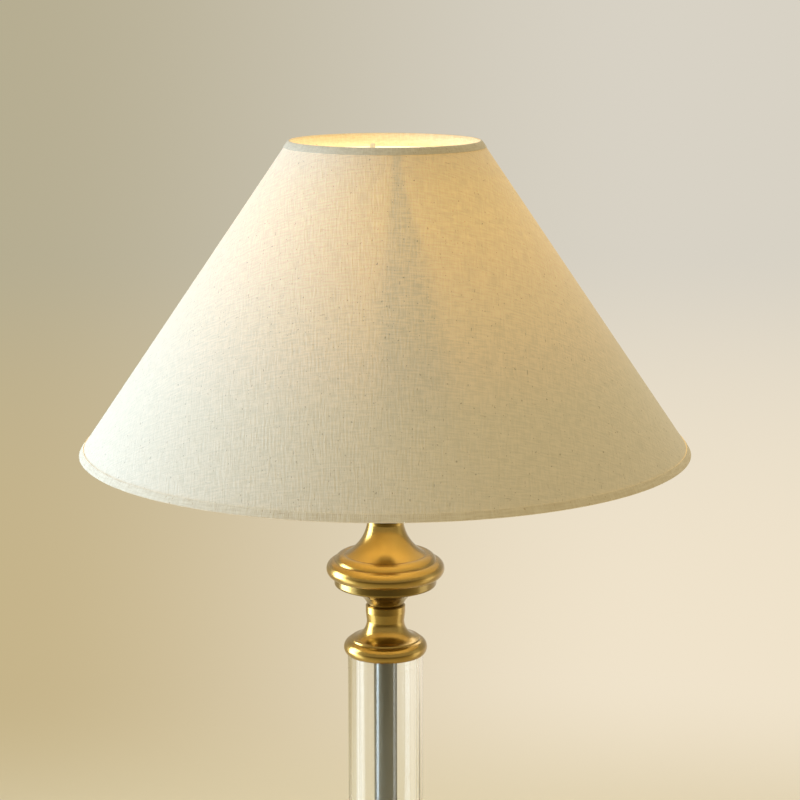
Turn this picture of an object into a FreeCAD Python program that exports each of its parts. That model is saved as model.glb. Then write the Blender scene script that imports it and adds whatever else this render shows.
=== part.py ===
"""A candlestick table lamp: turned brass fittings on a clear glass column, under a wide cone shade.

Everything is turned round the lamp's upright axis, so each piece is mostly one outline in radius
and height.  Millimetres, +Z up, the origin on the table under the axis, the front at -Y.
"""
import FreeCAD, Part
import os
import re
import Sketcher

from FreeCAD import Placement, Rotation, Vector

DOC = FreeCAD.newDocument("candlestick_lamp")

# Driving sizes, then the levels worked out from them.  A text that starts with = is a formula.
SIZES = (
    # base
    ("felt_thickness", 2),
    ("plate_thickness", 1.5),
    ("foot_clearance", 1),
    ("foot_radius", 80),
    ("foot_edge_break", 1),
    ("foot_band_height", 13),
    ("foot_shoulder_width", 3.5),
    ("foot_shoulder_height", 3.5),
    ("foot_shoulder_swell", 1.2),
    ("foot_step_width", 4),
    ("foot_step_height", 0.5),
    ("foot_sweep_height", 12.5),
    ("foot_sweep_hollow", 4),
    ("foot_bead_radius", 26),
    ("foot_bead_height", 5),
    ("foot_bead_swell", 2.3),
    ("foot_bead_set_back", 5),
    ("foot_neck_height", 6),
    ("foot_neck_hollow", 1.6),
    ("foot_wall", 2),
    ("weight_thickness", 9),
    ("weight_play", 3),
    ("weight_boss_radius", 18),
    ("boss_play", 1.5),
    ("nut_pocket_radius", 12),
    ("nut_pocket_depth", 16),
    ("cord_channel_width", 9),
    ("cord_channel_depth", 8),
    # cord entry at the back of the foot
    ("cord_bore_radius", 3.6),
    ("grommet_wall", 1.4),
    ("grommet_lip", 1.4),
    ("grommet_lip_length", 1.5),
    ("grommet_lip_taper", 0.5),
    ("grommet_play", 0.05),
    ("grommet_inner_gap", 0.6),
    ("grommet_height", 8),
    # threaded tube that draws the column together, with its nuts and washer
    ("tube_radius", 5),
    ("tube_bore_radius", 3.5),
    ("tube_stub", 1),
    ("tube_play", 0.3),
    ("thread_play", 0.05),
    ("nut_corner_radius", 8.1),
    ("nut_height", 4.5),
    ("washer_radius", 10),
    ("washer_thickness", 1.5),
    # glass column
    ("glass_radius", 25.5),
    ("glass_wall", 2.5),
    ("glass_showing", 236),
    ("gasket_thickness", 1.2),
    ("gasket_inset", 0.5),
    ("sleeve_radius", 8),
    ("sleeve_wall", 1),
    ("sleeve_play", 0.2),
    ("sleeve_seat_depth", 4),
    # the two collars
    ("collar_lip_wall", 0.6),
    ("collar_seat_play", 0.2),
    ("collar_seat_depth", 5.6),
    ("collar_bead_height", 9.6),
    ("collar_bead_swell", 3.1),
    ("collar_bead_top_radius", 23.4),
    ("collar_step", 1),
    ("collar_step_inset", 0.4),
    ("collar_flare_height", 12),
    ("collar_flare_hollow", 3),
    ("collar_waist_radius", 12.6),
    ("collar_waist_height", 6),
    ("collar_rim_radius", 13.3),
    ("collar_rim_height", 4.4),
    ("collar_rim_break", 0.6),
    # the knop, in two turned shells
    ("knop_wall", 2),
    ("knop_foot_radius", 11.9),
    ("knop_cup_radius", 18.4),
    ("knop_cup_height", 8),
    ("knop_cup_hollow", 0.8),
    ("knop_flange_under_radius", 32.5),
    ("knop_flange_under_height", 5.5),
    ("knop_flange_corner", 1.8),
    ("knop_flange_corner_swell", 0.5),
    ("knop_flange_radius", 34.2),
    ("knop_flange_height", 4),
    ("knop_spigot_height", 2),
    ("knop_spigot_play", 0.1),
    ("knop_torus_root_radius", 34),
    ("knop_torus_height", 11.6),
    ("knop_torus_swell", 5.5),
    ("knop_bead_top_radius", 27),
    ("knop_bead_height", 4.3),
    ("knop_bead_swell", 1.6),
    ("knop_flute_height", 20.9),
    ("knop_flute_hollow", 3),
    ("knop_top_radius", 12.2),
    ("knop_crown", 3),
    # neck between the knop and the lampholder
    ("neck_lip_radius", 12.4),
    ("neck_lip_height", 2),
    ("neck_radius", 11.4),
    ("neck_stem_height", 22),
    ("neck_flare_height", 7),
    ("neck_flare_hollow", 1.2),
    ("neck_cup_radius", 16),
    ("neck_cup_height", 3),
    ("neck_pocket_radius", 9.5),
    ("neck_pocket_depth", 7),
    # lampholder
    ("holder_radius", 17.5),
    ("holder_wall", 1.2),
    ("holder_cap_height", 13),
    ("holder_cap_foot_radius", 13.5),
    ("holder_cap_swell", 1.3),
    ("holder_cap_curve_height", 7),
    ("holder_boss_radius", 7.5),
    ("holder_boss_height", 6),
    ("holder_body_height", 20),
    ("holder_play", 0.3),
    ("switch_block_height", 18),
    ("insulator_thickness", 3),
    ("insulator_radius", 16),
    ("shell_radius", 13.6),
    ("shell_wall", 0.5),
    ("shell_height", 24),
    ("shell_flange", 1.5),
    ("skirt_height", 30),
    ("skirt_radius", 19.8),
    ("skirt_wall", 3.2),
    ("shoulder_radius", 23),
    ("shoulder_level", 10),
    ("shoulder_thickness", 2),
    ("ring_thread_play", 0.1),
    ("thread_pitch", 2.5),
    ("thread_depth", 0.5),
    ("thread_count", 5),
    ("contact_length", 9),
    ("contact_width", 4),
    ("contact_thickness", 0.5),
    ("contact_gap", 0.3),
    # push bar of the switch
    ("bar_radius", 2.2),
    ("bar_play", 0.08),
    ("bar_travel", 6),
    ("bar_knob_radius", 3.6),
    ("bar_knob_length", 4),
    ("bar_knob_gap", 1),
    ("bar_knob_round", 1),
    ("bar_knob_swell", 0.3),
    # bulb
    ("bulb_length", 108),
    ("bulb_radius", 30),
    ("bulb_cap_radius", 13.1),
    ("bulb_cap_height", 24),
    ("bulb_cap_wall", 0.4),
    ("bulb_cap_slope", 1.5),
    ("bulb_button_radius", 4.8),
    ("bulb_button_height", 0.8),
    ("bulb_button_rim", 0.6),
    ("bulb_insulator_height", 2.2),
    ("bulb_insulator_radius", 11.5),
    ("bulb_glass_wall", 0.8),
    ("bulb_neck_inset", 2),
    ("bulb_neck_play", 0.1),
    ("bulb_neck_rise", 0.6),
    ("bulb_shoulder_drop", 14.6),
    ("bulb_shoulder_hollow", 2.2),
    ("stem_radius", 4),
    ("stem_height", 34),
    ("stem_flare_edge", 1.2),
    ("stem_flare_height", 6),
    ("filament_radius", 0.7),
    ("filament_length", 30),
    ("filament_overlap", 8),
    ("filament_play", 0.1),
    ("filament_count", 4),
    # shade carrier
    ("carrier_radius", 26),
    ("carrier_thickness", 1.5),
    ("carrier_play", 0.4),
    ("clamp_ring_height", 6),
    ("clamp_ring_radius", 25),
    ("clamp_ring_notches", 24),
    ("clamp_ring_notch", 1),
    ("arm_wire_radius", 1.6),
    ("arm_foot_length", 7),
    ("arm_bend_radius", 6),
    ("arm_azimuth", 8),
    ("weld_gap", 0.15),
    # shade
    ("shade_above_knop", 52),
    ("shade_bottom_radius", 200),
    ("shade_top_radius", 62.3),
    ("shade_height", 201.5),
    ("cover_thickness", 0.8),
    ("liner_thickness", 0.5),
    ("hem_thickness", 0.5),
    ("hem_height", 4),
    ("ring_wire_radius", 1.6),
    ("ring_inset", 4.2),
    # levels, from the table up
    ("foot_height", "=foot_band_height + foot_edge_break + foot_shoulder_height + foot_step_height"
     " + foot_sweep_height + foot_bead_height + foot_neck_height"),
    ("foot_top", "=foot_clearance + foot_height"),
    ("foot_crown", "=foot_height - foot_neck_height - foot_wall"),
    ("filament_circle", "=stem_radius + filament_radius + filament_play"),
    ("bulb_cap_bore", "=bulb_cap_radius - bulb_cap_wall"),
    ("bulb_neck_radius", "=bulb_cap_bore - bulb_neck_play"),
    ("bulb_cap_level", "=bulb_button_height + bulb_insulator_height"),
    ("bulb_cap_top", "=bulb_cap_level + bulb_cap_height"),
    ("bulb_neck_level", "=bulb_cap_top - bulb_neck_inset"),
    ("weight_base", "=felt_thickness + plate_thickness"),
    ("plate_radius", "=foot_radius - foot_wall - weight_play"),
    ("weight_radius", "=foot_radius - foot_shoulder_width - foot_step_width - foot_wall - weight_play"),
    ("nut_ceiling", "=weight_base + nut_pocket_depth"),
    ("tube_hole_radius", "=tube_radius + tube_play"),
    ("collar_height", "=collar_bead_height + collar_step + collar_flare_height + collar_waist_height"
     " + collar_rim_height + collar_rim_break"),
    ("lower_lip", "=foot_top + collar_height"),
    ("upper_lip", "=lower_lip + glass_showing"),
    ("glass_tuck", "=collar_seat_depth - gasket_thickness"),
    ("knop_base", "=upper_lip + collar_height"),
    ("knop_seam", "=knop_base + knop_cup_height + knop_flange_under_height + knop_flange_corner"
     " + knop_flange_height"),
    ("knop_top", "=knop_seam + knop_torus_height + knop_bead_height + knop_flute_height"),
    ("neck_height", "=neck_lip_height + neck_stem_height + neck_flare_height + neck_cup_height"),
    ("holder_base", "=knop_top + neck_height"),
    ("tube_top", "=holder_base + holder_boss_height"),
    ("body_base", "=holder_base + holder_cap_height"),
    ("bar_level", "=body_base + holder_body_height / 2"),
    ("skirt_base", "=body_base + holder_body_height"),
    ("contact_level", "=skirt_base + insulator_thickness"),
    ("bulb_base", "=contact_level + contact_thickness + contact_gap"),
    ("shoulder_top", "=skirt_base + shoulder_level + shoulder_thickness"),
    ("clamp_ring_base", "=shoulder_top + carrier_thickness"),
    ("shade_base", "=knop_top + shade_above_knop"),
    ("shade_slope", "=(shade_bottom_radius - shade_top_radius) / shade_height"),
    ("shade_skin", "=cover_thickness + liner_thickness"),
    # the wires lie against the liner, so across the slope they stand off by the hypotenuse
    ("ring_stand_off", "=ring_wire_radius * sqrt(1 + shade_slope * shade_slope)"),
    ("top_ring_level", "=shade_base + shade_height - ring_inset"),
    ("top_ring_radius", "=shade_bottom_radius - shade_slope * (shade_height - ring_inset)"
     " - shade_skin - ring_stand_off"),
    ("bottom_ring_level", "=shade_base + ring_inset"),
    ("bottom_ring_radius", "=shade_bottom_radius - shade_slope * ring_inset - shade_skin"
     " - ring_stand_off"),
)


def make_sheet():
    sheet = DOC.addObject("Spreadsheet::Sheet", "sizes")
    for row, (alias, value) in enumerate(SIZES, start=1):
        sheet.set(f"A{row}", alias)
        sheet.set(f"B{row}", str(value))
        sheet.setAlias(f"B{row}", alias)
    DOC.recompute()
    return sheet


SHEET = make_sheet()
ALIASES = {alias for alias, _ in SIZES}
UPRIGHT = Rotation()
UPSIDE_DOWN = Rotation(Vector(1, 0, 0), 180)
ALONG_X = Rotation(Vector(0, 1, 0), 90)
TO_THE_BACK = Rotation(Vector(1, 0, 0), -90)


def linked(text):
    """The same expression with each size read from the sheet."""
    return re.sub(r"[a-z_]\w*", lambda word: "sizes." + word[0] if word[0] in ALIASES else word[0], text)


def number(text):
    return float(SHEET.evalExpression(linked(text)))


def bind(thing, name, text):
    thing.setExpression(name, linked(text))


def place(thing, height, turn=UPRIGHT):
    thing.Placement = Placement(Vector(0, 0, number(height)), turn)
    bind(thing, "Placement.Base.z", height)


def new_body(label, height, turn=UPRIGHT):
    piece = DOC.addObject("PartDesign::Body", label)
    piece.Label = label
    place(piece, height, turn)
    return piece


def origin_plane(piece, role):
    return next(feature for feature in piece.Origin.OriginFeatures if feature.Role == role)


def new_sketch(piece, name, role):
    sketch = piece.newObject("Sketcher::SketchObject", f"{piece.Label}_{name}")
    sketch.AttachmentSupport = [(origin_plane(piece, role), "")]
    sketch.MapMode = "FlatFace"
    return sketch


def hold_point(sketch, geometry, end, across, up, name):
    """Tie one point of a sketch to two expressions."""
    for kind, text in (("DistanceX", across), ("DistanceY", up)):
        index = sketch.addConstraint(Sketcher.Constraint(kind, geometry, end, number(text)))
        sketch.renameConstraint(index, f"{name}_{kind}")
        bind(sketch, f"Constraints.{name}_{kind}", text)


def arc_middle(start, end, bulge):
    """The expressions of an arc's middle: the chord's middle, moved by the bulge to its right."""
    across, up = f"(({end[0]}) - ({start[0]}))", f"(({end[1]}) - ({start[1]}))"
    chord = f"hypot({across}; {up})"
    return (f"(({start[0]}) + ({end[0]})) / 2 + ({bulge}) * {up} / {chord}",
            f"(({start[1]}) + ({end[1]})) / 2 - ({bulge}) * {across} / {chord}")


def draw_outline(sketch, points, closed=True):
    """Draw an outline of lines and arcs.

    A point is (across, up) or (across, up, bulge), the bulge being that of the edge that reaches
    it.  A closed outline runs anticlockwise, up the outside and down the inside, so a positive
    bulge swells out of the metal and a negative one hollows it.
    """
    corners = [Vector(number(point[0]), number(point[1]), 0) for point in points]
    for index, point in enumerate(points):
        if index == 0 and not closed:
            continue
        before = points[index - 1]
        start, end = corners[index - 1], corners[index]
        if len(point) == 3:
            middle = arc_middle(before, point, point[2])
            top = Vector(number(middle[0]), number(middle[1]), 0)
            edge = sketch.addGeometry(Part.Arc(start, top, end))
            dot = sketch.addGeometry(Part.Point(top), True)
            sketch.addConstraint(Sketcher.Constraint("PointOnObject", dot, 1, edge))
            hold_point(sketch, dot, 1, middle[0], middle[1], f"swell{index}")
        else:
            edge = sketch.addGeometry(Part.LineSegment(start, end))
        first = sketch.getPoint(edge, 1).distanceToPoint(start) < 1e-6
        hold_point(sketch, edge, 2 if first else 1, point[0], point[1], f"corner{index}")
        hold_point(sketch, edge, 1 if first else 2, before[0], before[1], f"start{index}")


def turned(label, height, points, turn=UPRIGHT):
    """A piece turned on a lathe: one closed outline in radius and height."""
    piece = new_body(label, height, turn)
    sketch = new_sketch(piece, "outline", "XZ_Plane")
    draw_outline(sketch, points)
    solid = piece.newObject("PartDesign::Revolution", f"{label}_turned")
    solid.Profile = sketch
    solid.ReferenceAxis = (sketch, ["V_Axis"])
    solid.Angle = 360
    return piece


def tube(label, height, inner, outer, length, turn=UPRIGHT):
    corners = [(outer, "0"), (outer, length), (inner, length), (inner, "0")]
    return turned(label, height, corners, turn)


def round_hole(piece, name, role, height, radius):
    """A round hole right through a piece, square to one of its upright planes."""
    sketch = new_sketch(piece, name, role)
    ring = sketch.addGeometry(Part.Circle(Vector(0, number(height), 0), Vector(0, 0, 1), number(radius)))
    hold_point(sketch, ring, 3, "0", height, "middle")
    index = sketch.addConstraint(Sketcher.Constraint("Radius", ring, number(radius)))
    sketch.renameConstraint(index, "radius")
    bind(sketch, "Constraints.radius", radius)
    hole = piece.newObject("PartDesign::Pocket", f"{piece.Label}_{name}_cut")
    hole.Profile = sketch
    hole.Type = "ThroughAll"
    return hole


def hex_nut(label, height):
    prism = DOC.addObject("Part::Prism", f"{label}_prism")
    prism.Polygon = 6
    bind(prism, "Circumradius", "nut_corner_radius")
    bind(prism, "Height", "nut_height")
    bore = DOC.addObject("Part::Cylinder", f"{label}_bore")
    bind(bore, "Radius", "tube_radius + thread_play")
    bind(bore, "Height", "nut_height")
    nut = DOC.addObject("Part::Cut", label)
    nut.Base = prism
    nut.Tool = bore
    place(nut, height)
    return nut


# ---------------------------------------------------------------- base
def foot_inside():
    """The foot's hollow, from the crown down to the open bottom, one wall in from the outside."""
    step_radius = "foot_radius - foot_shoulder_width - foot_step_width"
    band_top = "foot_edge_break + foot_band_height"
    step_top = f"{band_top} + foot_shoulder_height + foot_step_height"
    return [
        ("tube_hole_radius", "foot_height"),
        ("tube_hole_radius", "foot_crown"),
        ("weight_boss_radius + boss_play", "foot_crown"),
        ("weight_boss_radius + boss_play", f"{step_top} + foot_sweep_height - foot_wall"),
        (f"{step_radius} - foot_wall", f"{step_top} - foot_wall", "foot_sweep_hollow"),
        ("foot_radius - foot_wall", band_top),
        ("foot_radius - foot_wall", "0"),
    ]


def make_foot():
    band_top = "foot_edge_break + foot_band_height"
    step_level = f"{band_top} + foot_shoulder_height"
    sweep_level = f"{step_level} + foot_step_height"
    bead_level = f"{sweep_level} + foot_sweep_height"
    neck_level = f"{bead_level} + foot_bead_height"
    shoulder_radius = "foot_radius - foot_shoulder_width"
    foot = turned("base_foot", "foot_clearance", [
        ("foot_radius - foot_edge_break", "0"),
        ("foot_radius", "foot_edge_break"),
        ("foot_radius", band_top),
        (shoulder_radius, step_level, "foot_shoulder_swell"),
        (f"{shoulder_radius} - foot_step_width", sweep_level),
        ("foot_bead_radius", bead_level, "-foot_sweep_hollow"),
        ("foot_bead_radius - foot_step_height", neck_level, "foot_bead_swell"),
        ("foot_bead_radius - foot_bead_set_back", neck_level),
        ("collar_rim_radius", "foot_height", "-foot_neck_hollow"),
    ] + foot_inside())
    round_hole(foot, "cord_hole", "XZ_Plane", "grommet_height - foot_clearance",
               "cord_bore_radius + grommet_wall")


def make_weight():
    """The cast weight, whose boss carries the foot's crown; a channel leads the cord to the tube."""
    crown = "foot_clearance + foot_crown - weight_base"
    weight = turned("base_weight", "weight_base", [
        ("weight_radius", "0"),
        ("weight_radius", "weight_thickness"),
        ("weight_boss_radius", "weight_thickness"),
        ("weight_boss_radius", crown),
        ("tube_hole_radius", crown),
        ("tube_hole_radius", "nut_pocket_depth"),
        ("nut_pocket_radius", "nut_pocket_depth"),
        ("nut_pocket_radius", "0"),
    ])
    sketch = new_sketch(weight, "channel", "XY_Plane")
    half = "cord_channel_width / 2"
    draw_outline(sketch, [(half, "0"), (half, "weight_radius + weight_play"),
                          (f"-{half}", "weight_radius + weight_play"), (f"-{half}", "0")])
    channel = weight.newObject("PartDesign::Pocket", "base_weight_channel_cut")
    channel.Profile = sketch
    bind(channel, "Length", "cord_channel_depth")
    channel.Reversed = True
    return weight


def make_base():
    tube("base_felt", "0", "0", "plate_radius", "felt_thickness")
    tube("base_plate", "felt_thickness", "nut_pocket_radius", "plate_radius", "plate_thickness")
    make_weight()
    make_foot()
    hex_nut("bottom_nut", "nut_ceiling - washer_thickness - nut_height")
    tube("bottom_washer", "nut_ceiling - washer_thickness", "tube_hole_radius", "washer_radius",
         "washer_thickness")
    make_grommet()


def make_grommet():
    """A rubber bush in the back of the foot: two lips hold it on the foot's wall."""
    hole_radius = "cord_bore_radius + grommet_wall"
    lip_radius = f"{hole_radius} + grommet_lip"
    # the lips are flat and the wall is round, so the inner one stands off the wall's middle
    inner_face = "foot_radius - foot_wall - grommet_inner_gap"
    turned("cord_grommet", "grommet_height", [
        ("cord_bore_radius", f"{inner_face} - grommet_lip_length"),
        (lip_radius, f"{inner_face} - grommet_lip_length"),
        (lip_radius, inner_face),
        (f"{hole_radius} - grommet_play", inner_face),
        (f"{hole_radius} - grommet_play", "foot_radius"),
        (lip_radius, "foot_radius"),
        (f"{lip_radius} - grommet_lip_taper", "foot_radius + grommet_lip_length"),
        ("cord_bore_radius", "foot_radius + grommet_lip_length"),
    ], TO_THE_BACK)


# ---------------------------------------------------------------- column
def collar(label, height, turn):
    """A flared collar that cups the glass at its lip and narrows to a rim at its other end."""
    seat_radius = "glass_radius + collar_seat_play"
    step = "collar_bead_height + collar_step"
    waist = f"{step} + collar_flare_height"
    rim = f"{waist} + collar_waist_height"
    seat = "collar_seat_depth + sleeve_seat_depth"
    return turned(label, height, [
        (f"{seat_radius} + collar_lip_wall", "0"),
        ("collar_bead_top_radius", "collar_bead_height", "collar_bead_swell"),
        ("collar_bead_top_radius - collar_step_inset", step),
        ("collar_waist_radius", waist, "-collar_flare_hollow"),
        ("collar_rim_radius", rim),
        ("collar_rim_radius", f"{rim} + collar_rim_height"),
        ("collar_rim_radius - collar_rim_break", "collar_height"),
        ("tube_hole_radius", "collar_height"),
        ("tube_hole_radius", seat),
        ("sleeve_radius + sleeve_play", seat),
        ("sleeve_radius + sleeve_play", "collar_seat_depth"),
        (seat_radius, "collar_seat_depth"),
        (seat_radius, "0"),
    ], turn)


def make_column():
    inner_glass = "glass_radius - glass_wall"
    collar("lower_collar", "lower_lip", UPSIDE_DOWN)
    tube("lower_gasket", "lower_lip - collar_seat_depth", f"{inner_glass} + gasket_inset",
         "glass_radius - gasket_inset", "gasket_thickness")
    tube("glass_tube", "lower_lip - glass_tuck", inner_glass, "glass_radius",
         "glass_showing + 2 * glass_tuck")
    tube("upper_gasket", "upper_lip + glass_tuck", f"{inner_glass} + gasket_inset",
         "glass_radius - gasket_inset", "gasket_thickness")
    collar("upper_collar", "upper_lip", UPRIGHT)
    sleeve_tuck = "(collar_seat_depth + sleeve_seat_depth)"
    tube("rod_sleeve", f"lower_lip - {sleeve_tuck}", "sleeve_radius - sleeve_wall", "sleeve_radius",
         f"glass_showing + 2 * {sleeve_tuck}")
    tube_foot = "nut_ceiling - washer_thickness - nut_height - tube_stub"
    tube("threaded_tube", tube_foot, "tube_bore_radius", "tube_radius", f"tube_top - ({tube_foot})")


# ---------------------------------------------------------------- knop and neck
def make_knop():
    flange = "knop_cup_height + knop_flange_under_height"
    band = f"{flange} + knop_flange_corner"
    seam = f"{band} + knop_flange_height"
    spigot_radius = "knop_torus_root_radius - knop_wall - knop_spigot_play"
    turned("knop_lower", "knop_base", [
        ("knop_foot_radius", "0"),
        ("knop_cup_radius", "knop_cup_height", "-knop_cup_hollow"),
        ("knop_flange_under_radius", flange),
        ("knop_flange_radius", band, "knop_flange_corner_swell"),
        ("knop_flange_radius", seam),
        (spigot_radius, seam),
        (spigot_radius, f"{seam} + knop_spigot_height"),
        (f"{spigot_radius} - knop_wall", f"{seam} + knop_spigot_height"),
        (f"{spigot_radius} - knop_wall", f"{flange} + knop_wall"),
        ("knop_cup_radius", "knop_cup_height + knop_wall"),
        ("tube_hole_radius", "knop_cup_height + knop_wall"),
        ("tube_hole_radius", "0"),
    ])
    bead = "knop_torus_height + knop_bead_height"
    top = f"{bead} + knop_flute_height"
    turned("knop_upper", "knop_seam", [
        ("knop_torus_root_radius", "0"),
        ("knop_torus_root_radius", "knop_torus_height", "knop_torus_swell"),
        ("knop_bead_top_radius", bead, "knop_bead_swell"),
        ("knop_top_radius", top, "-knop_flute_hollow"),
        ("tube_hole_radius", top),
        ("tube_hole_radius", f"{top} - knop_crown"),
        ("knop_top_radius - knop_wall", f"{top} - knop_crown"),
        ("knop_bead_top_radius - 2 * knop_wall", f"{bead} - knop_wall", "knop_flute_hollow"),
        ("knop_torus_root_radius - knop_wall", "knop_torus_height - knop_wall"),
        ("knop_torus_root_radius - knop_wall", "0"),
    ])


def make_neck():
    flare = "neck_lip_height + neck_stem_height"
    cup = f"{flare} + neck_flare_height"
    pocket = "neck_height - neck_pocket_depth"
    turned("neck", "knop_top", [
        ("neck_lip_radius", "0"),
        ("neck_lip_radius", "neck_lip_height"),
        ("neck_radius", "neck_lip_height"),
        ("neck_radius", flare),
        ("neck_cup_radius", cup, "-neck_flare_hollow"),
        ("neck_cup_radius", "neck_height"),
        ("neck_pocket_radius", "neck_height"),
        ("neck_pocket_radius", pocket),
        ("tube_hole_radius", pocket),
        ("tube_hole_radius", "0"),
    ])
    hex_nut("column_nut", f"knop_top + {pocket}")


# ---------------------------------------------------------------- lampholder
def make_holder_shells():
    curve = "holder_cap_curve_height"
    inner = "holder_radius - holder_wall"
    turned("holder_cap", "holder_base", [
        ("holder_cap_foot_radius", "0"),
        ("holder_radius", curve, "holder_cap_swell"),
        ("holder_radius", "holder_cap_height"),
        (inner, "holder_cap_height"),
        (inner, curve),
        ("holder_cap_foot_radius - holder_wall", "holder_wall", "-holder_cap_swell"),
        ("holder_boss_radius", "holder_wall"),
        ("holder_boss_radius", "holder_boss_height"),
        ("tube_radius + thread_play", "holder_boss_height"),
        ("tube_radius + thread_play", "0"),
    ])
    body = tube("holder_body", "body_base", inner, "holder_radius", "holder_body_height")
    hole = round_hole(body, "bar_hole", "YZ_Plane", "holder_body_height / 2", "bar_radius + bar_play")
    hole.Midplane = True
    block = tube("switch_block", "body_base", "tube_bore_radius - holder_wall",
                 f"{inner} - holder_play", "switch_block_height")
    hole = round_hole(block, "bar_hole", "YZ_Plane", "holder_body_height / 2", "bar_radius + bar_play")
    hole.Midplane = True


def make_skirt():
    """The threaded skirt round the bulb's cap, with the shoulder that the shade stands on."""
    inner = "skirt_radius - skirt_wall"
    outside = [
        ("skirt_radius", "0"),
        ("skirt_radius", "shoulder_level"),
        ("shoulder_radius", "shoulder_level"),
        ("shoulder_radius", "shoulder_level + shoulder_thickness"),
        ("skirt_radius", "shoulder_level + shoulder_thickness"),
    ]
    # shallow grooves stand for the thread
    for turn in range(int(number("thread_count"))):
        root = f"skirt_height - thread_pitch * {int(number('thread_count')) - turn}"
        outside += [
            ("skirt_radius", root),
            ("skirt_radius - thread_depth", f"{root} + thread_pitch / 4"),
            ("skirt_radius", f"{root} + thread_pitch / 2"),
        ]
    turned("holder_skirt", "skirt_base", outside + [
        ("skirt_radius", "skirt_height"),
        (inner, "skirt_height"),
        (inner, "0"),
    ])


def make_socket():
    shell_outer = "shell_radius + shell_wall"
    turned("socket_insulator", "skirt_base", [
        ("insulator_radius", "0"),
        ("insulator_radius", "insulator_thickness"),
        ("0", "insulator_thickness"),
        ("0", "0"),
    ])
    turned("socket_shell", "contact_level", [
        (shell_outer, "0"),
        (shell_outer, "shell_height"),
        ("shell_radius", "shell_height"),
        ("shell_radius", "shell_wall"),
        ("shell_radius - shell_flange", "shell_wall"),
        ("shell_radius - shell_flange", "0"),
    ])
    contact = DOC.addObject("Part::Box", "centre_contact")
    bind(contact, "Length", "contact_length")
    bind(contact, "Width", "contact_width")
    bind(contact, "Height", "contact_thickness")
    place(contact, "contact_level")
    bind(contact, "Placement.Base.x", "-contact_length / 2")
    bind(contact, "Placement.Base.y", "-contact_width / 2")


def make_switch_bar():
    """The push bar, turned along X: at rest its left knob stands out by the travel."""
    shaft = "2 * (holder_radius + bar_knob_gap) + bar_travel"
    bare = "bar_knob_length - bar_knob_round"
    outline = [
        ("0", "0"),
        ("bar_knob_radius - bar_knob_round", "0"),
        ("bar_knob_radius", "bar_knob_round", "bar_knob_swell"),
        ("bar_knob_radius", "bar_knob_length"),
        ("bar_radius", "bar_knob_length"),
        ("bar_radius", f"bar_knob_length + {shaft}"),
        ("bar_knob_radius", f"bar_knob_length + {shaft}"),
        ("bar_knob_radius", f"bar_knob_length + {shaft} + {bare}"),
        ("bar_knob_radius - bar_knob_round", f"2 * bar_knob_length + {shaft}", "bar_knob_swell"),
        ("0", f"2 * bar_knob_length + {shaft}"),
    ]
    bar = turned("switch_bar", "bar_level", outline, ALONG_X)
    bind(bar, "Placement.Base.x", "-(holder_radius + bar_knob_gap + bar_travel + bar_knob_length)")


# ---------------------------------------------------------------- bulb
def make_bulb():
    tube("bulb_contact", "bulb_base", "0", "bulb_button_radius", "bulb_button_height")
    turned("bulb_insulator", "bulb_base", [
        ("0", "bulb_button_height"),
        ("bulb_button_radius + bulb_button_rim", "bulb_button_height"),
        ("bulb_insulator_radius", "bulb_cap_level"),
        ("0", "bulb_cap_level"),
    ])
    turned("bulb_cap", "bulb_base", [
        ("bulb_insulator_radius", "bulb_cap_level"),
        ("bulb_cap_radius", "bulb_cap_level + bulb_cap_slope"),
        ("bulb_cap_radius", "bulb_cap_top"),
        ("bulb_cap_bore", "bulb_cap_top"),
        ("bulb_cap_bore", "bulb_cap_level + bulb_cap_slope"),
        ("bulb_insulator_radius - bulb_cap_wall", "bulb_cap_level + bulb_cap_wall"),
        ("0", "bulb_cap_level + bulb_cap_wall"),
        ("0", "bulb_cap_level"),
    ])
    make_bulb_glass()
    flare_radius = "bulb_neck_radius - bulb_glass_wall - bulb_neck_play"
    turned("bulb_stem", "bulb_base + bulb_neck_level", [
        ("0", "0"),
        (flare_radius, "0"),
        (flare_radius, "stem_flare_edge"),
        ("stem_radius", "stem_flare_height"),
        ("stem_radius", "stem_height"),
        ("0", "stem_height"),
    ])
    make_filaments()


def make_bulb_glass():
    """A pear-shaped envelope: a neck, a hollow shoulder and most of a sphere, of one thickness."""
    centre = "(bulb_length - bulb_radius)"
    neck_top = "bulb_cap_top + bulb_neck_rise"

    def sphere(inset):
        """How far out the shoulder meets the sphere, how far below its centre, and the swell of
        the arc from there to the top."""
        radius = f"(bulb_radius - {inset})"
        drop = f"(bulb_shoulder_drop * {radius} / bulb_radius)"
        across = f"sqrt({radius} * {radius} - {drop} * {drop})"
        half_chord = f"(hypot({across}; {radius} + {drop}) / 2)"
        return across, drop, f"({radius} - sqrt({radius} * {radius} - {half_chord} * {half_chord}))"

    across, drop, swell = sphere("0")
    inner_across, inner_drop, inner_swell = sphere("bulb_glass_wall")
    turned("bulb_glass", "bulb_base", [
        ("bulb_neck_radius", "bulb_neck_level"),
        ("bulb_neck_radius", neck_top),
        (across, f"{centre} - {drop}", "-bulb_shoulder_hollow"),
        ("0", "bulb_length", swell),
        ("0", "bulb_length - bulb_glass_wall"),
        (inner_across, f"{centre} - {inner_drop}", f"-{inner_swell}"),
        ("bulb_neck_radius - bulb_glass_wall", neck_top, "bulb_shoulder_hollow"),
        ("bulb_neck_radius - bulb_glass_wall", "bulb_neck_level"),
    ])


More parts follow.
